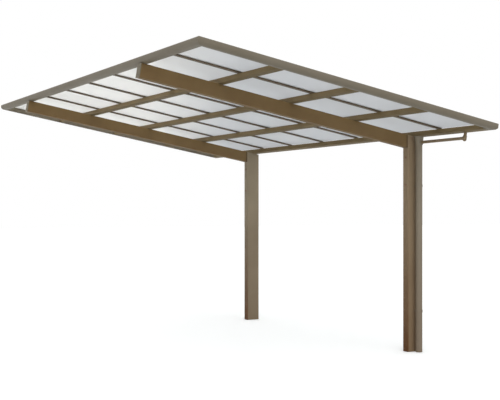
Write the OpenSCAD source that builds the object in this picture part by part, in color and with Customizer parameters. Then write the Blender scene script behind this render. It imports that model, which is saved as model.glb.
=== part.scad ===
// Single cantilever carport: two posts, two arms, a sloped roof of opal sheets in a bronze frame.
// X runs along the arms towards the post side, Y along the length, Z up.
// The origin is the middle of the near post's foot, at ground level.

/* [Roof] */
// Length of the roof, outside to outside
roof_l = 4954; // [4400:1:6000]
// Width of the roof along its slope, outside to outside
roof_w = 2714; // [2400:1:3200]
// Fall of the roof towards the posts, in degrees
slope = 10.1; // [4:0.1:14]
// Height of the roof's underside above the ground, over the post axis
roof_z = 1895.5; // [1700:0.5:2400]
// How far the roof runs past the post axis, along the slope
rear_reach = 62; // [56:1:72]

/* [Posts] */
// Distance between the two post axes
bay = 2918; // [2400:1:3400]
// Post section along the arms
post_w = 150; // [120:1:200]
// Post section along the length
post_d = 70; // [60:1:110]
// Wall of the post extrusion
post_wall = 5; // [3:0.5:8]
// Corner radius of posts and arms
post_r = 5; // [4:1:14]
// Plate that closes the foot
foot_t = 10; // [6:1:20]
// Plate that closes the head
cap_t = 4; // [3:0.5:8]

/* [Arms] */
// Depth of an arm
arm_h = 111; // [95:1:160]
// Width of an arm along the length
arm_d = 70; // [60:1:100]
// Wall of the arm extrusion
arm_wall = 4; // [3:0.5:6]
// How far the arm's closing plate stays inside the free edge
arm_inset = 12; // [4:1:30]
// Thickness of the closing plate at the free end
arm_plate_t = 6; // [4:0.5:10]
// Thickness of the flange that bears on the post
flange_t = 8; // [5:0.5:14]
// Depth of the shadow joint between the arm and its flange
joint_gap = 3; // [2:0.5:5]
// Setback of that joint from the arm's faces
joint_step = 2; // [1:0.5:3.5]

/* [Edge frame] */
// Height of the fascia
fascia_h = 53; // [52.5:0.5:80]
// Radius of the fascia's upper outer edge
fascia_r = 14; // [8:1:14]
// Radius of the fascia's lower outer edge, which makes most of its face
nose_r = 38; // [20:1:38]
// Wall of the frame extrusions
frame_wall = 3; // [2:0.5:4]
// Width of the frame along the free edge
free_frame_w = 60; // [56:1:110]
// Width of the frame along each end
end_frame_w = 54; // [46:1:80]
// Depth of the groove that holds the sheets
groove_d = 15; // [10:1:20]
// Length of a corner piece along each edge
corner_l = 95; // [92:1:140]
// Corner radius in plan
corner_r = 10; // [6:1:30]

/* [Gutter] */
// Width of the gutter along the post side
gutter_w = 78; // [66:1:90]
// Radius of the gutter's lower outer edge
gutter_r = 20; // [12:1:30]
// How much narrower the gutter leaves the panes beside it
gutter_cover = 18; // [0:1:30]
// Width of the lip rolled in at the top of the gutter
gutter_lip = 13; // [12:1:16]
// How far the sheets and bars reach over the gutter
sheet_reach = 15; // [10:1:25]

/* [Purlins] */
// Width of a purlin
purlin_w = 50; // [40:1:100]
// Height of a purlin
purlin_h = 40; // [28:1:40]
// Wall of a purlin
purlin_wall = 3; // [2:0.5:4]

/* [Glazing] */
// Thickness of an opal sheet
sheet_t = 3; // [2:0.5:4]
// Free height over a sheet in its groove
sheet_play = 0.5; // [0.3:0.1:1]
// Gap between a sheet's edge and what it stops at
sheet_edge_gap = 2; // [1:0.5:4]
// Width of a glazing bar
bar_w = 46; // [24:1:52]
// Height of a glazing bar below the sheets
bar_h = 7; // [6:0.5:8]
// Width of the bar's stem between two sheets
stem_w = 8; // [5:0.5:12]
// Height of the cap strip over the sheets
strip_h = 4.5; // [4:0.5:5.5]
// Chamfer of the cap strip
strip_chamfer = 2; // [1:0.5:3]

/* [Drain] */
// Diameter of the gutter outlet and the cross pipe
cross_d = 26; // [22:1:34]
// Wall of the outlet and the cross pipe
cross_wall = 2; // [1.5:0.5:3]
// Distance from the near end of the roof to the outlet
outlet_in = 344; // [250:1:500]
// Distance of the pipes behind the post axis
pipe_x = 13; // [8:1:20]
// Drop from the roof's underside, over the post axis, to the cross pipe's axis
cross_drop = 55; // [54:1:90]
// Wall that the elbows add around a pipe
socket_wall = 3; // [2:0.5:4]
// Reach of the outlet elbow's two sockets from its axes
outlet_socket = 22; // [20:1:36]
// Depth of the outlet elbow's sump under the cross pipe's axis, to its round bottom
outlet_sump = 11; // [6:1:20]
// Diameter of the downpipe
down_d = 60; // [50:1:70]
// Wall of the downpipe
down_wall = 2; // [1.5:0.5:3]
// Reach of the downpipe head's side socket from the pipe's axis
down_socket = 48; // [46:1:60]
// Diameter of the downpipe's head at the roof's underside
head_d = 84; // [74:1:86]
// Gap between that head and the gutter's underside
head_gap = 1; // [0.5:0.5:4]
// Depth of the downpipe's head under the cross pipe's axis
head_drop = 22; // [20:1:40]
// Gap between the downpipe and the post
down_gap = 13; // [13:1:20]
// Height of the pipe clips, low and high
clip_low = 350; // [200:1:700]
clip_high = 1450; // [900:1:1600]
// Width of a pipe clip's band
clip_w = 20; // [14:1:30]
// Thickness of a pipe clip's band
clip_t = 2.5; // [2:0.5:4]
// Width of the foot that holds a clip on the post
clip_foot_w = 24; // [16:1:36]

/* [Hidden] */
$fn = 48;
purlin_n = 3;
sheet_n = 8;

bronze = "#6b5d48";
bronze_dark = "#55493a";
opal = "#dfe2e4";
far_off = 20000;

// Places on the roof: X along the slope from the post axis, Z square to the roof's underside
free_edge = rear_reach - roof_w;
end_reach = (roof_l - bay) / 2;
near_end = -end_reach;
far_end = bay + end_reach;
free_inner = free_edge + free_frame_w;
gutter_inner = rear_reach - gutter_w;
sheet_z = purlin_h + bar_h;
slot_h = sheet_t + sheet_play;
slot_y = end_frame_w - groove_d;
sheet_pitch = (roof_l - 2 * slot_y) / sheet_n;
sheet_from = free_inner - groove_d + sheet_edge_gap;
sheet_to = gutter_inner + sheet_reach;
pane_w = (gutter_inner + gutter_cover - free_inner - purlin_n * purlin_w) / (purlin_n + 1);
arm_from = free_edge + arm_inset;
outlet_y = end_reach - outlet_in;
pipe_y = -(post_d / 2 + down_gap + down_d / 2);
cross_z = roof_z - cross_drop;
cross_bore = cross_d - 2 * cross_wall;
socket_d = cross_d + 2 * socket_wall;
head_wall = down_wall + socket_wall;
joint_x = -post_w / 2 - flange_t;
// The cross pipe's axis on the roof: along the slope and under the roof's underside
outlet_x = pipe_x * cos(slope) + cross_drop * sin(slope);
outlet_z = pipe_x * sin(slope) - cross_drop * cos(slope);

function seam_y(i) = near_end + slot_y + i * sheet_pitch;
function purlin_x(i) = free_inner + i * pane_w + (i - 1) * purlin_w;
function sheet_low(i) = seam_y(i - 1) + sheet_edge_gap + (i == 1 ? 0 : stem_w / 2);
function sheet_high(i) = seam_y(i) - sheet_edge_gap - (i == sheet_n ? 0 : stem_w / 2);

// Puts children on the roof's underside plane, turned to its slope
module on_roof() {
    translate([0, 0, roof_z])
        rotate([0, slope, 0])
            children();
}

// Everything above height z over the roof's underside
module above_roof(z) {
    on_roof()
        translate([-far_off / 2, -far_off / 2, z])
            cube(far_off);
}

// Draws a section, across X and up Z, out over a length along +Y
module along_y(length) {
    translate([0, length, 0])
        rotate([90, 0, 0])
            linear_extrude(length)
                children();
}

// Draws a section, across Y and up Z, out over a length along +X
module along_x(length) {
    rotate([90, 0, 90])
        linear_extrude(length)
            children();
}

// Mirrors children to the far half of the carport
module at_far_side() {
    translate([0, bay, 0])
        mirror([0, 1, 0])
            children();
}

// Rectangle about the origin with rounded corners
module rounded_rect(w, d, r) {
    square([w - 2 * r, d], center = true);
    square([w, d - 2 * r], center = true);
    for (x = [-1, 1], y = [-1, 1])
        translate([x * (w / 2 - r), y * (d / 2 - r)])
            circle(r);
}

// Posts

module post_section() {
    difference() {
        rounded_rect(post_w, post_d, post_r);
        square([post_w - 2 * post_wall, post_d - 2 * post_wall], center = true);
    }
}

module post() {
    color(bronze)
        difference() {
            union() {
                linear_extrude(roof_z + post_w)
                    post_section();
                linear_extrude(foot_t)
                    rounded_rect(post_w, post_d, post_r);
            }
            above_roof(-cap_t);
        }
}

module post_cap() {
    color(bronze)
        intersection() {
            linear_extrude(roof_z + post_w)
                rounded_rect(post_w, post_d, post_r);
            on_roof()
                translate([-post_w, -post_d, -cap_t])
                    cube([2 * post_w, 2 * post_d, cap_t]);
        }
}

// Arms

module arm_outline(step) {
    translate([0, -arm_h / 2])
        rounded_rect(arm_d - 2 * step, arm_h - 2 * step, post_r - step);
}

// Everything on the post's side of the plane x
module behind(x) {
    translate([x, -far_off / 2, -far_off / 2])
        cube(far_off);
}

// Slice of a solid arm, set in by a step, between two upright planes
module arm_slice(from, to, step) {
    difference() {
        on_roof()
            translate([-2 * post_w, 0, 0])
                along_x(2 * post_w)
                    arm_outline(step);
        behind(to);
        behind(from - far_off);
    }
}

module arm() {
    color(bronze)
        union() {
            difference() {
                on_roof()
                    translate([arm_from + arm_plate_t, 0, 0])
                        along_x(-arm_from)
                            difference() {
                                arm_outline(0);
                                translate([0, -arm_h / 2])
                                    square([arm_d - 2 * arm_wall, arm_h - 2 * arm_wall], center = true);
                            }
                behind(joint_x - joint_gap);
            }
            arm_slice(joint_x - joint_gap, joint_x, joint_step);
            arm_slice(joint_x, -post_w / 2, 0);
        }
}

module arm_plate() {
    color(bronze)
        on_roof()
            translate([arm_from, 0, 0])
                along_x(arm_plate_t)
                    arm_outline(0);
}

// Purlins: closed boxes that lie on the arms and run from end frame to end frame

module purlin(i) {
    color(bronze)
        on_roof()
            translate([purlin_x(i), near_end + end_frame_w, 0])
                along_y(roof_l - 2 * end_frame_w)
                    difference() {
                        square([purlin_w, purlin_h]);
                        translate([purlin_wall, purlin_wall])
                            square([purlin_w - 2 * purlin_wall, purlin_h - 2 * purlin_wall]);
                    }
}

// Edge frame: hollow extrusions with a rounded fascia and a groove for the sheets

// What the rounding of an outer edge takes away, with the rounding set in by a wall
module edge_cut(r, inset) {
    difference() {
        square(r);
        translate([r, r])
            circle(r - inset);
    }
}

// Outline of width w, set in from the fascia's faces by a wall, rounded on the outer side only
module fascia_outline(w, inset = 0, low_r = nose_r) {
    difference() {
        translate([inset, inset])
            square([w - 2 * inset, fascia_h - 2 * inset]);
        edge_cut(low_r, inset);
        translate([0, fascia_h])
            mirror([0, 1])
                edge_cut(fascia_r, inset);
    }
}

module frame_section(w) {
    difference() {
        fascia_outline(w);
        fascia_outline(w - groove_d, frame_wall);
        translate([w - groove_d, sheet_z])
            square([2 * groove_d, slot_h]);
    }
}

module free_edge_frame() {
    color(bronze)
        on_roof()
            translate([free_edge, near_end + corner_l, 0])
                along_y(roof_l - 2 * corner_l)
                    frame_section(free_frame_w);
}

module near_end_frame() {
    color(bronze)
        on_roof()
            translate([free_edge + corner_l, near_end, 0])
                along_x(roof_w - 2 * corner_l)
                    frame_section(end_frame_w);
}

// The gutter is open between its rolled lip and its inner wall, which the bars cross
module gutter_section() {
    difference() {
        fascia_outline(gutter_w, 0, gutter_r);
        fascia_outline(gutter_w, frame_wall, gutter_r);
        translate([gutter_lip, purlin_h])
            square([gutter_w, fascia_h]);
    }
}

module rear_gutter() {
    color(bronze)
        difference() {
            on_roof()
                translate([rear_reach, near_end + corner_l, 0])
                    mirror([1, 0, 0])
                        along_y(roof_l - 2 * corner_l)
                            gutter_section();
            at_outlet()
                cylinder(d = cross_bore, h = purlin_h - outlet_z);
        }
}

// Corner pieces: cast, mitred by crossing the two fascia outlines and rounded in plan

module corner_round(size, low_r = nose_r) {
    intersection() {
        along_y(size)
            fascia_outline(size, 0, low_r);
        along_x(size)
            fascia_outline(size);
        union() {
            translate([corner_r, 0, 0])
                cube([size, size, fascia_h]);
            translate([0, corner_r, 0])
                cube([size, size, fascia_h]);
            translate([corner_r, corner_r, 0])
                cylinder(r = corner_r, h = fascia_h);
        }
    }
}

module sheet_slot(x) {
    translate([x, slot_y, sheet_z])
        cube([far_off, far_off, slot_h]);
}

module near_free_corner() {
    color(bronze)
        on_roof()
            translate([free_edge, near_end, 0])
                difference() {
                    intersection() {
                        corner_round(2 * corner_l);
                        union() {
                            cube([free_frame_w, corner_l, fascia_h]);
                            cube([corner_l, end_frame_w, fascia_h]);
                        }
                    }
                    sheet_slot(free_frame_w - groove_d);
                }
}

module near_rear_corner() {
    color(bronze)
        on_roof()
            translate([rear_reach, near_end, 0])
                mirror([1, 0, 0])
                    difference() {
                        intersection() {
                            corner_round(2 * corner_l, gutter_r);
                            union() {
                                along_y(corner_l)
                                    gutter_section();
                                cube([corner_l, end_frame_w, fascia_h]);
                            }
                        }
                        sheet_slot(gutter_w - sheet_reach - sheet_edge_gap);
                    }
}

// Glazing: each bar lies on the purlins and holds the edges of two sheets under its cap strip

module bar_section() {
    translate([-bar_w / 2, 0])
        square([bar_w, bar_h]);
    translate([-stem_w / 2, bar_h])
        square([stem_w, slot_h]);
    translate([0, bar_h + slot_h])
        polygon([
            [-bar_w / 2, 0],
            [bar_w / 2, 0],
            [bar_w / 2, strip_h - strip_chamfer],
            [bar_w / 2 - strip_chamfer, strip_h],
            [-bar_w / 2 + strip_chamfer, strip_h],
            [-bar_w / 2, strip_h - strip_chamfer]
        ]);
}

module bar(i) {
    color(bronze_dark)
        on_roof()
            translate([free_inner, seam_y(i), purlin_h])
                along_x(sheet_to - free_inner)
                    bar_section();
}

module sheet(i) {
    color(opal)
        on_roof()
            translate([sheet_from, sheet_low(i), sheet_z])
                cube([sheet_to - sheet_from, sheet_high(i) - sheet_low(i), sheet_t]);
}

// Drain: an outlet under the gutter, a cross pipe to the near post and a downpipe beside it

module pipe(d, wall, length) {
    difference() {
        cylinder(d = d, h = length);
        cylinder(d = d - 2 * wall, h = length);
    }
}

// Puts children on the outlet's axis, square to the gutter, at the height of the cross pipe
module at_outlet() {
    on_roof()
        translate([outlet_x, -outlet_y, outlet_z])
            children();
}

module gutter_outlet() {
    color(bronze)
        difference() {
            at_outlet()
                translate([0, 0, outlet_socket])
                    pipe(cross_d, cross_wall, purlin_h - outlet_z - outlet_socket);
            on_roof()
                translate([rear_reach, near_end, 0])
                    mirror([1, 0, 0])
                        along_y(roof_l)
                            fascia_outline(2 * gutter_w, 0, gutter_r);
        }
}

// Upright body of the outlet elbow, closed by a round bottom
module sump(d) {
    translate([0, 0, -outlet_sump])
        rotate_extrude() {
            square([d / 2, outlet_sump + outlet_socket]);
            intersection() {
                circle(d = d);
                translate([0, -d])
                    square([d, 2 * d]);
            }
        }
}

module outlet_elbow() {
    color(bronze)
        at_outlet()
            difference() {
                union() {
                    sump(socket_d);
                    rotate([-90, 0, 0])
                        cylinder(d = socket_d, h = outlet_socket);
                }
                sump(cross_bore);
                rotate([-90, 0, 0])
                    cylinder(d = cross_bore, h = outlet_socket);
            }
}

module cross_pipe() {
    color(bronze)
        translate([pipe_x, -outlet_y + outlet_socket, cross_z])
            rotate([-90, 0, 0])
                pipe(cross_d, cross_wall, outlet_y - outlet_socket + pipe_y - down_socket);
}

// Conical body of the downpipe's head, closed along the gutter's underside; the wall sets it in
module head(wall) {
    difference() {
        translate([pipe_x, pipe_y, cross_z - head_drop])
            cylinder(
                r1 = down_d / 2 + socket_wall - wall,
                r2 = head_d / 2 - wall,
                h = head_drop + cross_drop
            );
        above_roof(-head_gap - wall);
    }
}

module side_socket(d) {
    translate([pipe_x, pipe_y, cross_z])
        rotate([90, 0, 0])
            cylinder(d = d, h = down_socket);
}

module downpipe_elbow() {
    color(bronze)
        difference() {
            union() {
                head(0);
                side_socket(socket_d);
            }
            head(head_wall);
            side_socket(cross_bore);
        }
}

module downpipe() {
    color(bronze)
        translate([pipe_x, pipe_y, 0])
            pipe(down_d, down_wall, cross_z - head_drop);
}

module clip(z) {
    color(bronze)
        translate([pipe_x, pipe_y, z])
            difference() {
                union() {
                    cylinder(d = down_d + 2 * clip_t, h = clip_w);
                    translate([-clip_foot_w / 2, 0, 0])
                        cube([clip_foot_w, down_d / 2 + down_gap, clip_w]);
                }
                cylinder(d = down_d, h = clip_w);
            }
}

post();  // near_post
at_far_side() post();  // far_post
post_cap();  // near_post_cap
at_far_side() post_cap();  // far_post_cap
arm();  // near_arm
at_far_side() arm();  // far_arm
arm_plate();  // near_arm_plate
at_far_side() arm_plate();  // far_arm_plate
for (i = [1 : purlin_n])
    purlin(i);
free_edge_frame();
near_end_frame();
at_far_side() near_end_frame();  // far_end_frame
rear_gutter();
near_free_corner();
at_far_side() near_free_corner();  // far_free_corner
near_rear_corner();
at_far_side() near_rear_corner();  // far_rear_corner
for (i = [1 : sheet_n - 1])
    bar(i);
for (i = [1 : sheet_n])
    sheet(i);
gutter_outlet();
outlet_elbow();
cross_pipe();
downpipe_elbow();
downpipe();
clip(clip_low);  // low_clip
clip(clip_high);  // high_clip
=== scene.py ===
import math

import bpy
from mathutils import Matrix, Vector


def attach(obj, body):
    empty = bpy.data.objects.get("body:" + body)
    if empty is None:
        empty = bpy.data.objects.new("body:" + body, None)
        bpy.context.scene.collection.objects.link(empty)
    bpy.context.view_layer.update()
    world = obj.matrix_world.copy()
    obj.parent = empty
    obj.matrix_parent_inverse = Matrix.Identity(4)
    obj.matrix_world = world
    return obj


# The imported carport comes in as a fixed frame: every solid keeps its place,
# and the sections below only give it finishes and the small parts bolted to it.
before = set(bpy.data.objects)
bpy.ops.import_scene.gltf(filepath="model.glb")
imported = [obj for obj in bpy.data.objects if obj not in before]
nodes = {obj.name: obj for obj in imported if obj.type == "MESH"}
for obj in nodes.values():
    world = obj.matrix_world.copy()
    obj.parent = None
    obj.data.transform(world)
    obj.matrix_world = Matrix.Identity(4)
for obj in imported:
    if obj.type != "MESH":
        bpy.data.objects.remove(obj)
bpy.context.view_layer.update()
bpy.ops.object.select_all(action="DESELECT")


# Posts: hollow aluminium extrusions, 150 by 70 mm, set in the ground and closed by a flat cap.
# They are powder coated in a satin bronze, which leaves a faint orange peel on the metal.
# Painted shade browns them towards the ground and fades out upwards.
def linear(hex_colour):
    channels = [int(hex_colour[i:i + 2], 16) / 255 for i in (1, 3, 5)]
    return [c / 12.92 if c <= 0.04045 else ((c + 0.055) / 1.055) ** 2.4 for c in channels] + [1.0]


def add_node(tree, kind, props=None, values=None, links=None):
    node = tree.nodes.new(kind)
    for name, value in (props or {}).items():
        setattr(node, name, value)
    for socket, value in (values or {}).items():
        node.inputs[socket].default_value = value
    for socket, source in (links or {}).items():
        tree.links.new(source, node.inputs[socket])
    return node


def new_material(name):
    material = bpy.data.materials.new(name)
    material.use_nodes = True
    material.node_tree.nodes.clear()
    return material, material.node_tree


PEEL_SIZE = 0.004          # real orange peel is about 1 mm wide: drawn coarser, so that it shows
PEEL_STRENGTH, PEEL_DEPTH = 0.12, 0.0004
CLOUD_SIZE = 0.45          # slow drift of the coat's tone along an extrusion
CLOUD_DARK, CLOUD_LIGHT = 0.3, 0.7
RUB_SIZE = 0.09            # patches where the coat is a little smoother or duller
RUB_SMOOTHER, RUB_DULLER = 0.07, 0.09
GLOSS = 0.3                # a satin coat mirrors less than a smooth one
IOR = 1.5                  # of paint, plastic and rubber
# Painted shade on faces turned downwards: none above the first normal z, full below the second.
SHADE_START_NORMAL_Z, SHADE_FULL_NORMAL_Z = -0.5, -0.9
# Painted shade near the ground: a deep brown that fades out upwards, with a mottled edge.
GROUND_SHADE = "#52300e"
GROUND_SHADE_FULL, GROUND_SHADE_NONE = 0.15, 1.50     # heights between which the painted shade fades out
GROUND_SHADE_MOST = 0.95
MOTTLE_SIZE, MOTTLE_SPREAD = 0.06, 0.30
SHADE_FACE_X, SHADE_BEHIND_X = -0.074, -0.060    # the post's face under the roof, and the start of its other sides
SHADE_SHARE_BEHIND = 0.35


def ground_shaded(tree, place, colour, soil):
    """Painted shade near the ground, a deep brown fading upwards, most on the side that faces under the
    roof.
    """
    axes = add_node(tree, "ShaderNodeSeparateXYZ", links={"Vector": place})
    mottle = add_node(tree, "ShaderNodeTexNoise", values={"Scale": 1 / MOTTLE_SIZE, "Detail": 6.0},
                       links={"Vector": place})
    level = add_node(tree, "ShaderNodeMath", {"operation": "MULTIPLY_ADD"}, {1: MOTTLE_SPREAD},
                     {0: mottle.outputs["Fac"], 2: axes.outputs["Z"]})
    cover = add_node(tree, "ShaderNodeMapRange",
                     values={"From Min": GROUND_SHADE_FULL, "From Max": GROUND_SHADE_NONE,
                             "To Min": GROUND_SHADE_MOST, "To Max": 0.0},
                     links={"Value": level.outputs[0]})
    side = add_node(tree, "ShaderNodeMapRange",
                    values={"From Min": SHADE_FACE_X, "From Max": SHADE_BEHIND_X,
                            "To Min": 1.0, "To Max": SHADE_SHARE_BEHIND},
                    links={"Value": axes.outputs["X"]})
    ground_shade_share = add_node(tree, "ShaderNodeMath", {"operation": "MULTIPLY"},
                      links={0: cover.outputs["Result"], 1: side.outputs["Result"]})
    ground_shaded_colour = add_node(tree, "ShaderNodeMix", {"data_type": "RGBA"}, {7: linear(soil)},
                      {0: ground_shade_share.outputs[0], 6: colour})
    return ground_shaded_colour.outputs[2]


def powder_coat(name, light, dark, roughness, ground_shade=None, under=None, gloss=GLOSS):
    """Satin powder coat on aluminium: an even brown with a soft sheen and a faint orange peel."""
    material, tree = new_material(name)
    place = add_node(tree, "ShaderNodeTexCoord").outputs["Object"]
    cloud = add_node(tree, "ShaderNodeTexNoise",
                     values={"Scale": 1 / CLOUD_SIZE, "Detail": 4.0, "Roughness": 0.6},
                     links={"Vector": place})
    tone = add_node(tree, "ShaderNodeValToRGB", links={"Fac": cloud.outputs["Fac"]})
    low, high = tone.color_ramp.elements
    low.position, high.position = CLOUD_DARK, CLOUD_LIGHT
    low.color, high.color = linear(dark), linear(light)
    colour = tone.outputs["Color"]
    # Painted shade towards the ground, where it is asked for.
    if ground_shade:
        colour = ground_shaded(tree, place, colour, ground_shade)
    # Painted shade: faces turned downwards take the darker under colour.
    if under:
        facing = add_node(tree, "ShaderNodeNewGeometry")
        axes = add_node(tree, "ShaderNodeSeparateXYZ", links={"Vector": facing.outputs["Normal"]})
        below = add_node(tree, "ShaderNodeMapRange",
                         values={"From Min": SHADE_START_NORMAL_Z, "From Max": SHADE_FULL_NORMAL_Z},
                         links={"Value": axes.outputs["Z"]})
        colour = add_node(tree, "ShaderNodeMix", {"data_type": "RGBA"}, {7: linear(under)},
                          {0: below.outputs["Result"], 6: colour}).outputs[2]
    peel = add_node(tree, "ShaderNodeTexNoise", values={"Scale": 1 / PEEL_SIZE, "Detail": 2.0},
                    links={"Vector": place})
    bump = add_node(tree, "ShaderNodeBump", values={"Strength": PEEL_STRENGTH, "Distance": PEEL_DEPTH},
                    links={"Height": peel.outputs["Fac"]})
    rubbed = add_node(tree, "ShaderNodeTexNoise", values={"Scale": 1 / RUB_SIZE, "Detail": 5.0},
                      links={"Vector": place})
    sheen = add_node(tree, "ShaderNodeMapRange",
                     values={"To Min": roughness - RUB_SMOOTHER, "To Max": roughness + RUB_DULLER},
                     links={"Value": rubbed.outputs["Fac"]})
    surface = add_node(tree, "ShaderNodeBsdfPrincipled", values={"IOR": IOR, "Specular IOR Level": gloss},
                       links={"Base Color": colour, "Roughness": sheen.outputs["Result"],
                              "Normal": bump.outputs["Normal"]})
    add_node(tree, "ShaderNodeOutputMaterial", links={"Surface": surface.outputs["BSDF"]})
    return material


def finish_nodes(names, material):
    for name in names:
        nodes[name].data.materials.clear()
        nodes[name].data.materials.append(material)


near_post_coat = powder_coat("bronze powder coat, near post", "#8a7860", "#806e57", 0.52,
                             ground_shade=GROUND_SHADE, gloss=0.12)
finish_nodes(["near_post", "near_post_cap"], near_post_coat)
# Painted light: the far post's coat is paler and greyer, as it stands in more open light.
far_post_coat = powder_coat("bronze powder coat, far post", "#8a7e6a", "#807461", 0.52,
                            ground_shade=GROUND_SHADE, gloss=0.12)
finish_nodes(["far_post", "far_post_cap"], far_post_coat)

POST_HALF_WIDTH = 0.075
BAY = 2.918                # between the two post axes
ROOF_Z = 1.8955            # roof's underside over the post axis
SLOPE = math.radians(10.1)


# Post bolts: two capped bolts through the side of each post that faces under the roof.
# They draw the arm's inner bracket against the post, each with a washer below its dark cap.
BOLT_HEIGHTS = (1.468, 1.710)
BOLT_Y = -0.006            # from the post's axis
WASHER_R, WASHER_T = 0.011, 0.002
CAP_R, CAP_H = 0.0085, 0.006
CAP_ROUND = 0.003
SOCKET_R, SOCKET_DEPTH = 0.0045, 0.003
LEAST_RIM = 0.0002         # around the socket of a small head
SMOOTH_ANGLE = math.radians(35)


def select_faces(piece, wanted):
    bpy.ops.object.mode_set(mode="EDIT")
    bpy.ops.mesh.select_mode(type="FACE")
    bpy.ops.mesh.select_all(action="DESELECT")
    bpy.ops.object.mode_set(mode="OBJECT")
    for face in piece.data.polygons:
        face.select = wanted(face)
    bpy.ops.object.mode_set(mode="EDIT")


def raise_face(distance):
    bpy.ops.mesh.extrude_region_move(TRANSFORM_OT_translate={"value": (0, 0, distance)})


def top_face(piece):
    highest = max(face.center.z for face in piece.data.polygons)
    return lambda face: face.normal.z > 0.9 and face.center.z > highest - 1e-6


def settle(piece):
    """The finished piece rides on the carport."""
    bpy.ops.object.select_all(action="DESELECT")
    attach(piece, "root")


def stand_copy(master, name, matrix):
    """A copy with a mesh of its own, moved in its mesh, so that the object stays at the origin."""
    piece = master.copy()
    piece.data = master.data.copy()
    piece.name = piece.data.name = name
    piece.data.transform(matrix)
    bpy.context.collection.objects.link(piece)
    return piece


def head_on(washer_r, washer_t, head_r, head_h, head_round, socket_r, socket_depth, sides):
    """A washer with a rounded head and a sunk socket, standing on the plane z = 0."""
    bpy.ops.object.select_all(action="DESELECT")
    bpy.ops.mesh.primitive_cylinder_add(vertices=sides, radius=washer_r, depth=washer_t,
                                        location=(0, 0, washer_t / 2))
    piece = bpy.context.object
    bpy.ops.object.transform_apply(location=True, rotation=True, scale=True)
    select_faces(piece, top_face(piece))
    bpy.ops.mesh.inset(thickness=washer_r - head_r)
    raise_face(head_h)
    bpy.ops.mesh.bevel(offset=head_round, segments=3, affect="EDGES")
    bpy.ops.object.mode_set(mode="OBJECT")
    select_faces(piece, top_face(piece))
    bpy.ops.mesh.inset(thickness=max(head_r - head_round - socket_r, LEAST_RIM))
    raise_face(-socket_depth)
    bpy.ops.object.mode_set(mode="OBJECT")
    bpy.ops.object.shade_smooth_by_angle(angle=SMOOTH_ANGLE)
    return piece


DRIFT_SIZE = 0.2           # slow drift of a moulding's tone
GRAIN_STRENGTH, GRAIN_DEPTH = 0.1, 0.0002
GRAIN_SMOOTHER, GRAIN_DULLER = 0.05, 0.08


def plastic(name, light, dark, roughness, grain, ground_shade=None):
    """Moulded plastic or rubber: dull, with a fine spark-eroded grain from its mould."""
    material, tree = new_material(name)
    place = add_node(tree, "ShaderNodeTexCoord").outputs["Object"]
    pits = add_node(tree, "ShaderNodeTexNoise", values={"Scale": 1 / grain, "Detail": 3.0},
                    links={"Vector": place})
    drift = add_node(tree, "ShaderNodeTexNoise", values={"Scale": 1 / DRIFT_SIZE, "Detail": 3.0},
                     links={"Vector": place})
    tone = add_node(tree, "ShaderNodeValToRGB", links={"Fac": drift.outputs["Fac"]})
    low, high = tone.color_ramp.elements
    low.color, high.color = linear(dark), linear(light)
    # Painted shade towards the ground, where it is asked for.
    colour = ground_shaded(tree, place, tone.outputs["Color"], ground_shade) if ground_shade else tone.outputs["Color"]
    bump = add_node(tree, "ShaderNodeBump", values={"Strength": GRAIN_STRENGTH, "Distance": GRAIN_DEPTH},
                    links={"Height": pits.outputs["Fac"]})
    dull = add_node(tree, "ShaderNodeMapRange",
                    values={"To Min": roughness - GRAIN_SMOOTHER, "To Max": roughness + GRAIN_DULLER},
                    links={"Value": pits.outputs["Fac"]})
    surface = add_node(tree, "ShaderNodeBsdfPrincipled", values={"IOR": IOR},
                       links={"Base Color": colour, "Roughness": dull.outputs["Result"],
                              "Normal": bump.outputs["Normal"]})
    add_node(tree, "ShaderNodeOutputMaterial", links={"Surface": surface.outputs["BSDF"]})
    return material


cap_plastic = plastic("dark nylon", "#856852", "#795d48", 0.60, 0.0015)
post_bolt = head_on(WASHER_R, WASHER_T, CAP_R, CAP_H, CAP_ROUND, SOCKET_R, SOCKET_DEPTH, sides=24)
post_bolt.data.materials.append(cap_plastic)
for post, y in (("near", 0.0), ("far", BAY)):
    for row, z in zip(("low", "high"), BOLT_HEIGHTS):
        onto_face = (Matrix.Translation((-POST_HALF_WIDTH, y + BOLT_Y, z))
                     @ Matrix.Rotation(-math.pi / 2, 4, "Y"))
        settle(stand_copy(post_bolt, f"{post}_post_{row}_bolt", onto_face))
bpy.data.objects.remove(post_bolt)


# Arms: hollow extrusions that butt against the posts and rise to the free edge.
# They have the posts' bronze coat, painted browner here as painted shade of the roof.
arm_coat = powder_coat("bronze powder coat, arms", "#766143", "#6c573a", 0.60, gloss=0.08)
finish_nodes(["near_arm", "far_arm"], arm_coat)

ARM_WIDTH, ARM_DEPTH = 0.070, 0.111


# Joint seals: rubber frames around the joint between each arm and the flange at its post.
# Their dark lip lies over the gap and shows as a dark line: painted shade, standing in for the joint's
# shadow.
FLANGE_T, JOINT_GAP = 0.008, 0.003
SEAL_W, SEAL_T = 0.006, 0.001
SEAL_PROUD = 0.0008        # how far the lip stands out from the arm's faces
SEAL_ROUND = 0.0055

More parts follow.
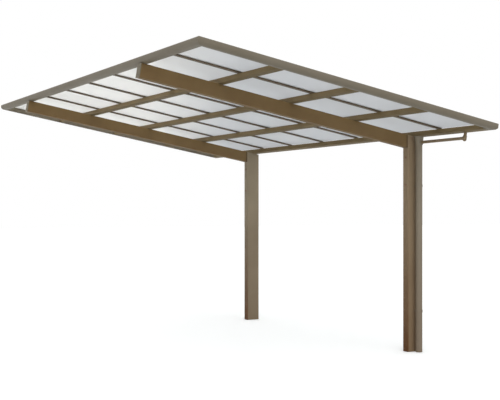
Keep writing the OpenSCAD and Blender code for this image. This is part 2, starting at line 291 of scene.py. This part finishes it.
joint_shade_rubber = plastic("brown rubber, painted joint shade", "#3d3322", "#332a1c", 0.65, 0.002)
bpy.ops.object.select_all(action="DESELECT")
bpy.ops.mesh.primitive_cube_add(size=1, location=(0, 0, 0),
                                scale=(SEAL_W, ARM_WIDTH + 2 * SEAL_PROUD,
                                       ARM_DEPTH / math.cos(SLOPE) + 2 * SEAL_PROUD))
joint_seal = bpy.context.object
bpy.ops.object.transform_apply(location=True, rotation=True, scale=True)
bpy.ops.object.mode_set(mode="EDIT")
bpy.ops.mesh.select_mode(type="EDGE")
bpy.ops.mesh.select_all(action="DESELECT")
bpy.ops.object.mode_set(mode="OBJECT")
for edge in joint_seal.data.edges:
    start, end = (joint_seal.data.vertices[i].co for i in edge.vertices)
    edge.select = abs(start.x - end.x) > SEAL_W / 2
bpy.ops.object.mode_set(mode="EDIT")
bpy.ops.mesh.bevel(offset=SEAL_ROUND, segments=5, affect="EDGES")
bpy.ops.object.mode_set(mode="OBJECT")


def hollow_out(piece, axis, wall):
    """Opens both ends of a closed solid along an axis and joins them by an inner wall."""
    select_faces(piece, lambda face: abs(face.normal[axis]) > 0.9)
    bpy.ops.mesh.inset(thickness=wall)
    bpy.ops.mesh.delete(type="FACE")
    bpy.ops.object.mode_set(mode="OBJECT")
    bpy.ops.object.mode_set(mode="EDIT")
    bpy.ops.mesh.select_mode(type="EDGE")
    bpy.ops.mesh.select_all(action="DESELECT")
    bpy.ops.mesh.select_non_manifold()
    bpy.ops.mesh.bridge_edge_loops()
    bpy.ops.mesh.select_all(action="SELECT")
    bpy.ops.mesh.normals_make_consistent(inside=False)
    bpy.ops.object.mode_set(mode="OBJECT")


hollow_out(joint_seal, 0, SEAL_T)
joint_seal.data.materials.append(joint_shade_rubber)
joint_x = -POST_HALF_WIDTH - FLANGE_T - JOINT_GAP / 2
joint_z = ROOF_Z - joint_x * math.tan(SLOPE) - ARM_DEPTH / 2 / math.cos(SLOPE)
with_slope = Matrix.Identity(4)
with_slope[2][0] = -math.tan(SLOPE)
for arm, y in (("near", 0.0), ("far", BAY)):
    around_joint = Matrix.Translation((joint_x, y, joint_z)) @ with_slope
    settle(stand_copy(joint_seal, f"{arm}_joint_seal", around_joint))
bpy.data.objects.remove(joint_seal)


# Arm plates: flat aluminium plates that close the arms at the free edge.
# Two pan head screws hold each one, above and below its middle.
plate_coat = powder_coat("bronze powder coat, plates", "#6e6552", "#645c4a", 0.50)
finish_nodes(["near_arm_plate", "far_arm_plate"], plate_coat)

ROOF_WIDTH, REAR_REACH = 2.714, 0.062
FREE_EDGE = REAR_REACH - ROOF_WIDTH
ARM_INSET = 0.012
PLATE_FACE = FREE_EDGE + ARM_INSET
SCREW_FROM_EDGE = 0.026


def on_roof(along, y, up):
    """A point given along the slope, along the length and square to the roof's underside."""
    return Vector((along * math.cos(SLOPE) + up * math.sin(SLOPE), y,
                   ROOF_Z - along * math.sin(SLOPE) + up * math.cos(SLOPE)))


screw_steel = powder_coat("coated steel", "#6f6556", "#60574a", 0.35)
plate_screw = head_on(washer_r=0.0055, washer_t=0.0008, head_r=0.0046, head_h=0.0028, head_round=0.0016,
                      socket_r=0.0018, socket_depth=0.0016, sides=20)
plate_screw.data.materials.append(screw_steel)
for arm, y in (("near", 0.0), ("far", BAY)):
    for row, up in (("low", SCREW_FROM_EDGE - ARM_DEPTH), ("high", -SCREW_FROM_EDGE)):
        outwards = (Matrix.Translation(on_roof(PLATE_FACE, y, up))
                    @ Matrix.Rotation(SLOPE - math.pi / 2, 4, "Y"))
        settle(stand_copy(plate_screw, f"{arm}_arm_plate_{row}_screw", outwards))
bpy.data.objects.remove(plate_screw)


# Purlins: three closed boxes that lie on the arms and run from end frame to end frame.
# They carry the bars and have the frame's coat, with painted shade: browner overall, darkest on their
# undersides.
purlin_coat = powder_coat("bronze powder coat, purlins", "#7d6d51", "#746449", 0.60,
                          under="#64563c", gloss=0.08)
finish_nodes(["purlin_1", "purlin_2", "purlin_3"], purlin_coat)


# Edge frame and gutter: extrusions with a rounded fascia, joined by cast corner pieces.
# The frame's coat is painted greyer than the arms', as painted light of the open sky on its outer faces.
# The gutter's coat is painted browner, like the arms', as painted shade.
edge_coat = powder_coat("bronze powder coat, edge frame", "#746c5e", "#6b6354", 0.52, gloss=0.2)
finish_nodes(["free_edge_frame", "near_end_frame", "far_end_frame", "near_free_corner", "far_free_corner",
              "near_rear_corner", "far_rear_corner"], edge_coat)
gutter_coat = powder_coat("bronze powder coat, gutter", "#75664a", "#6b5c42", 0.60, gloss=0.08)
finish_nodes(["rear_gutter"], gutter_coat)


# Glazing bars: aluminium strips that lie across the purlins, with a cap strip over the sheets' edges.
# Their coat is painted darker than the frame's, as painted shade on them where they stand against the bright
# sheets.
bar_coat = powder_coat("bronze powder coat, bars, painted shade", "#5e513e", "#544836", 0.55)
finish_nodes([f"bar_{i}" for i in range(1, 8)], bar_coat)


# Gaskets: rubber lips pressed into both sides of each bar, against the sheets' undersides.
# Each is one length of dark brown weatherproof rubber, rounded at its lower edge.
ROOF_LENGTH = 4.954
NEAR_END = -(ROOF_LENGTH - BAY) / 2
SHEETS = 8
SLOT_Y = 0.039             # the sheets' end edges, from the roof's ends
SHEET_PITCH = (ROOF_LENGTH - 2 * SLOT_Y) / SHEETS
FREE_FRAME_WIDTH, GUTTER_WIDTH = 0.060, 0.078
BAR_FROM, BAR_TO = FREE_EDGE + FREE_FRAME_WIDTH, REAR_REACH - GUTTER_WIDTH
BAR_HALF_WIDTH = 0.023
SHEET_UNDERSIDE = 0.047
LIP_W, LIP_H = 0.0025, 0.0045
LIP_ROUND = LIP_W * 0.4
LIP_SMOOTH_ANGLE = math.radians(40)

gasket_rubber = plastic("brown rubber", "#594c3a", "#4f4333", 0.65, 0.002)
bpy.ops.object.select_all(action="DESELECT")
bpy.ops.mesh.primitive_cube_add(size=1, location=(0, 0, 0), scale=(BAR_TO - BAR_FROM, LIP_W, LIP_H))
gasket = bpy.context.object
bpy.ops.object.transform_apply(location=True, rotation=True, scale=True)
select_faces(gasket, lambda face: face.normal.z < -0.9)
bpy.ops.mesh.bevel(offset=LIP_ROUND, segments=3, affect="EDGES")
bpy.ops.object.mode_set(mode="OBJECT")
bpy.ops.object.shade_smooth_by_angle(angle=LIP_SMOOTH_ANGLE)
gasket.data.materials.append(gasket_rubber)
roof_turn = Matrix.Rotation(SLOPE, 4, "Y")
for i in range(1, SHEETS):
    seam = NEAR_END + SLOT_Y + i * SHEET_PITCH
    for side, away in (("near", -1), ("far", 1)):
        middle = on_roof((BAR_FROM + BAR_TO) / 2, seam + away * (BAR_HALF_WIDTH + LIP_W / 2),
                         SHEET_UNDERSIDE - LIP_H / 2)
        settle(stand_copy(gasket, f"bar_{i}_{side}_gasket", Matrix.Translation(middle) @ roof_turn))
bpy.data.objects.remove(gasket)


# Cap screws: steel screws with a sealing washer, through each cap strip into its bar.
# They stand in one row along the strip, about 370 mm apart.
CAP_TOP = 0.055
CAP_SCREWS = 7
cap_screw = head_on(washer_r=0.0070, washer_t=0.0015, head_r=0.0048, head_h=0.0030, head_round=0.0012,
                    socket_r=0.0020, socket_depth=0.0016, sides=16)
cap_screw.data.materials.append(screw_steel)
for i in range(1, SHEETS):
    seam = NEAR_END + SLOT_Y + i * SHEET_PITCH
    row = []
    for k in range(CAP_SCREWS):
        along = BAR_FROM + (k + 0.5) * (BAR_TO - BAR_FROM) / CAP_SCREWS
        onto_cap = Matrix.Translation(on_roof(along, seam, CAP_TOP)) @ roof_turn
        row.append(stand_copy(cap_screw, f"bar_{i}_cap_screws", onto_cap))
    bpy.ops.object.select_all(action="DESELECT")
    for screw in row:
        screw.select_set(True)
    bpy.context.view_layer.objects.active = row[0]
    bpy.ops.object.join()
    settle(row[0])
bpy.data.objects.remove(cap_screw)


# Sheets: opal polycarbonate, 3 mm thick, held in the frame's groove and under the cap strips.
# They scatter the daylight from above and glow evenly. Painted shade greys them towards the gutter and the
# near end.
# Their IOR is set far below that of clear polycarbonate, to keep mirrored patches off them.
# Painted light and shade: the sheets' tone runs from the lit colour to the shaded one.
MILK_LIT, MILK_SHADED = "#eeeeec", "#d1d3d5"
SHADE_FROM, SHADE_TO = -2.72, -1.75      # in metres across the width
SHADE_SLANT = -0.5                      # how far that moves with each metre along the length
FROST_SIZE, FROST_LEAST, FROST_MOST = 0.7, 0.84, 0.88
RIPPLE_SIZE, RIPPLE_STRENGTH, RIPPLE_DEPTH = 0.025, 0.05, 0.0004
SHEET_IOR, SHEET_CLEAR = 1.15, 0.95
material, tree = new_material("opal polycarbonate")
place = add_node(tree, "ShaderNodeTexCoord").outputs["Object"]
haze = add_node(tree, "ShaderNodeTexNoise", values={"Scale": 1 / FROST_SIZE, "Detail": 3.0},
                links={"Vector": place})
axes = add_node(tree, "ShaderNodeSeparateXYZ", links={"Vector": place})
inwards = add_node(tree, "ShaderNodeMath", {"operation": "MULTIPLY_ADD"}, {1: SHADE_SLANT},
                   {0: axes.outputs["Y"], 2: axes.outputs["X"]})
sheet_shade = add_node(tree, "ShaderNodeMapRange", values={"From Min": SHADE_FROM, "From Max": SHADE_TO},
                 links={"Value": inwards.outputs[0]})
milk = add_node(tree, "ShaderNodeMix", {"data_type": "RGBA"},
                {6: linear(MILK_LIT), 7: linear(MILK_SHADED)}, {0: sheet_shade.outputs["Result"]})
ripple = add_node(tree, "ShaderNodeTexNoise", values={"Scale": 1 / RIPPLE_SIZE, "Detail": 2.0},
                  links={"Vector": place})
bump = add_node(tree, "ShaderNodeBump", values={"Strength": RIPPLE_STRENGTH, "Distance": RIPPLE_DEPTH},
                links={"Height": ripple.outputs["Fac"]})
frost = add_node(tree, "ShaderNodeMapRange", values={"To Min": FROST_LEAST, "To Max": FROST_MOST},
                 links={"Value": haze.outputs["Fac"]})
surface = add_node(tree, "ShaderNodeBsdfPrincipled",
                   values={"IOR": SHEET_IOR, "Transmission Weight": SHEET_CLEAR},
                   links={"Base Color": milk.outputs[2], "Roughness": frost.outputs["Result"],
                          "Normal": bump.outputs["Normal"]})
add_node(tree, "ShaderNodeOutputMaterial", links={"Surface": surface.outputs["BSDF"]})
finish_nodes([f"sheet_{i}" for i in range(1, SHEETS + 1)], material)


# Drain: plastic pipe in the frame's bronze, from the gutter's outlet to the near post and to the ground.
# The elbows are push-fit mouldings: the lower one is a conical head, with a bead around each mouth.
# The run under the gutter is painted browner, as painted shade of the roof, and has no painted ground shade.
# The downpipe's plastic takes painted shade towards the ground.
pipe_plastic = plastic("bronze pipe plastic", "#7a705f", "#706655", 0.5, 0.003, ground_shade=GROUND_SHADE)
finish_nodes(["downpipe_elbow", "downpipe", "low_clip", "high_clip"], pipe_plastic)
shaded_plastic = plastic("bronze pipe plastic, under the gutter", "#7a674c", "#705e44", 0.5, 0.003)
finish_nodes(["gutter_outlet", "outlet_elbow", "cross_pipe"], shaded_plastic)

PIPE_X, DOWN_Y = 0.013, -0.078
CROSS_DROP = 0.055
CROSS_Z = ROOF_Z - CROSS_DROP
CROSS_SOCKET_R, DOWN_SOCKET_R = 0.016, 0.033
DOWN_SOCKET, HEAD_DROP = 0.048, 0.022
BEAD_L, BEAD_H, BEAD_EDGE, BEAD_SIDES = 0.005, 0.0012, 0.0010, 48


def socket_bead(name, socket_r, matrix):
    """A rounded band moulded around the mouth of a socket, along +Z from z = 0."""
    bpy.ops.object.select_all(action="DESELECT")
    bpy.ops.mesh.primitive_cylinder_add(vertices=BEAD_SIDES, radius=socket_r + BEAD_H, depth=BEAD_L,
                                        location=(0, 0, BEAD_L / 2))
    band = bpy.context.object
    bpy.ops.object.transform_apply(location=True, rotation=True, scale=True)
    hollow_out(band, 2, BEAD_H)
    rounding = band.modifiers.new("edges", "BEVEL")
    rounding.width, rounding.segments, rounding.limit_method = BEAD_EDGE, 3, "ANGLE"
    bpy.context.view_layer.objects.active = band
    bpy.ops.object.modifier_apply(modifier=rounding.name)
    bpy.ops.object.shade_smooth_by_angle(angle=SMOOTH_ANGLE)
    band.data.transform(matrix)
    band.name = band.data.name = name
    band.data.materials.append(pipe_plastic)
    settle(band)


along_length = Matrix.Rotation(-math.pi / 2, 4, "X")
socket_bead("downpipe_elbow_side_bead", CROSS_SOCKET_R,
            Matrix.Translation((PIPE_X, DOWN_Y - DOWN_SOCKET, CROSS_Z)) @ along_length)
socket_bead("downpipe_elbow_lower_bead", DOWN_SOCKET_R,
            Matrix.Translation((PIPE_X, DOWN_Y, CROSS_Z - HEAD_DROP)))


# Clip screws: one small pan head screw in the side of each pipe clip's foot.
# It draws the clip's band tight around the downpipe.
CLIP_HEIGHTS = (0.350, 1.450)
CLIP_WIDTH, CLIP_FOOT = 0.020, 0.024
CLIP_SCREW_Y = -0.0415     # between the downpipe and the post
clip_screw = head_on(washer_r=0.0042, washer_t=0.0006, head_r=0.0035, head_h=0.0022, head_round=0.0012,
                     socket_r=0.0014, socket_depth=0.0012, sides=16)
clip_screw.data.materials.append(screw_steel)
for clip, z in zip(("low", "high"), CLIP_HEIGHTS):
    onto_foot = (Matrix.Translation((PIPE_X - CLIP_FOOT / 2, CLIP_SCREW_Y, z + CLIP_WIDTH / 2))
                 @ Matrix.Rotation(-math.pi / 2, 4, "Y"))
    settle(stand_copy(clip_screw, f"{clip}_clip_screw", onto_foot))
bpy.data.objects.remove(clip_screw)


# Studio: a plain pale floor and an even white surround, with one broad soft lamp.
# The floor keeps the carport's shadow, and both look white to the camera as the photograph does.
FLOOR_SIZE, FLOOR_BELOW = 120, 0.002
FLOOR_LIFT = 0.30          # what the floor lacks of white where the camera or a gloss shows it
WHITE = (1, 1, 1, 1)
bpy.ops.object.select_all(action="DESELECT")
bpy.ops.mesh.primitive_plane_add(size=FLOOR_SIZE, location=(0, 0, -FLOOR_BELOW))
floor = bpy.context.object
floor.name = "studio_floor"
material, tree = new_material("pale studio floor")
paint = add_node(tree, "ShaderNodeBsdfDiffuse", values={"Color": linear("#eceeee")})
seen = add_node(tree, "ShaderNodeLightPath")
shown = add_node(tree, "ShaderNodeMath", {"operation": "MAXIMUM"},
                 links={0: seen.outputs["Is Camera Ray"], 1: seen.outputs["Is Glossy Ray"]})
lift = add_node(tree, "ShaderNodeMath", {"operation": "MULTIPLY"}, {1: FLOOR_LIFT}, {0: shown.outputs[0]})
glow = add_node(tree, "ShaderNodeEmission", values={"Color": WHITE}, links={"Strength": lift.outputs[0]})
both = add_node(tree, "ShaderNodeAddShader", links={0: paint.outputs[0], 1: glow.outputs[0]})
add_node(tree, "ShaderNodeOutputMaterial", links={"Surface": both.outputs[0]})
floor.data.materials.append(material)

WORLD_LIGHT = 0.80         # where it only lights the carport, and isn't seen
world = bpy.data.worlds.new("white surround")
world.use_nodes = True
tree = world.node_tree
tree.nodes.clear()
seen = add_node(tree, "ShaderNodeLightPath")
mirrored = add_node(tree, "ShaderNodeMath", {"operation": "MAXIMUM"},
                    links={0: seen.outputs["Is Camera Ray"], 1: seen.outputs["Is Glossy Ray"]})
direct = add_node(tree, "ShaderNodeMath", {"operation": "MAXIMUM"},
                  links={0: mirrored.outputs[0], 1: seen.outputs["Is Transmission Ray"]})
level = add_node(tree, "ShaderNodeMapRange", values={"To Min": WORLD_LIGHT, "To Max": 1.0},
                 links={"Value": direct.outputs[0]})
surround = add_node(tree, "ShaderNodeBackground", values={"Color": WHITE},
                    links={"Strength": level.outputs["Result"]})
add_node(tree, "ShaderNodeOutputWorld", links={"Surface": surround.outputs[0]})
bpy.context.scene.world = world

SUN_POWER, SUN_SPREAD = 1.2, math.radians(70)
SUN_TILT, SUN_TURN = math.radians(62), math.radians(-22)
lamp_data = bpy.data.lights.new("soft daylight", "SUN")
lamp_data.energy = SUN_POWER
lamp_data.angle = SUN_SPREAD
lamp = bpy.data.objects.new("soft daylight", lamp_data)
lamp.rotation_euler = (SUN_TILT, 0, SUN_TURN)
bpy.context.collection.objects.link(lamp)


# Camera: level, at the photograph's place, with its lens worked out for a picture 500 by 400.
# The horizon lies a little under the middle of the picture, which the shift gives.
PICTURE_WIDTH = 500
FOCAL_PIXELS = 988.35
HORIZON_BELOW_MIDDLE = 10.74
VIEW_TURN = math.radians(29.064)
VIEW_FROM = (-5.5044, -6.9493, 1.2408)
SENSOR_WIDTH = 36.0
camera_data = bpy.data.cameras.new("photograph camera")
camera_data.sensor_width = SENSOR_WIDTH
camera_data.lens = SENSOR_WIDTH * FOCAL_PIXELS / PICTURE_WIDTH
camera_data.shift_y = HORIZON_BELOW_MIDDLE / PICTURE_WIDTH
camera = bpy.data.objects.new("photograph camera", camera_data)
camera.location = VIEW_FROM
camera.rotation_euler = (math.pi / 2, 0, -VIEW_TURN)
bpy.context.collection.objects.link(camera)
bpy.context.scene.camera = camera
bpy.context.scene.view_settings.view_transform = "Standard"
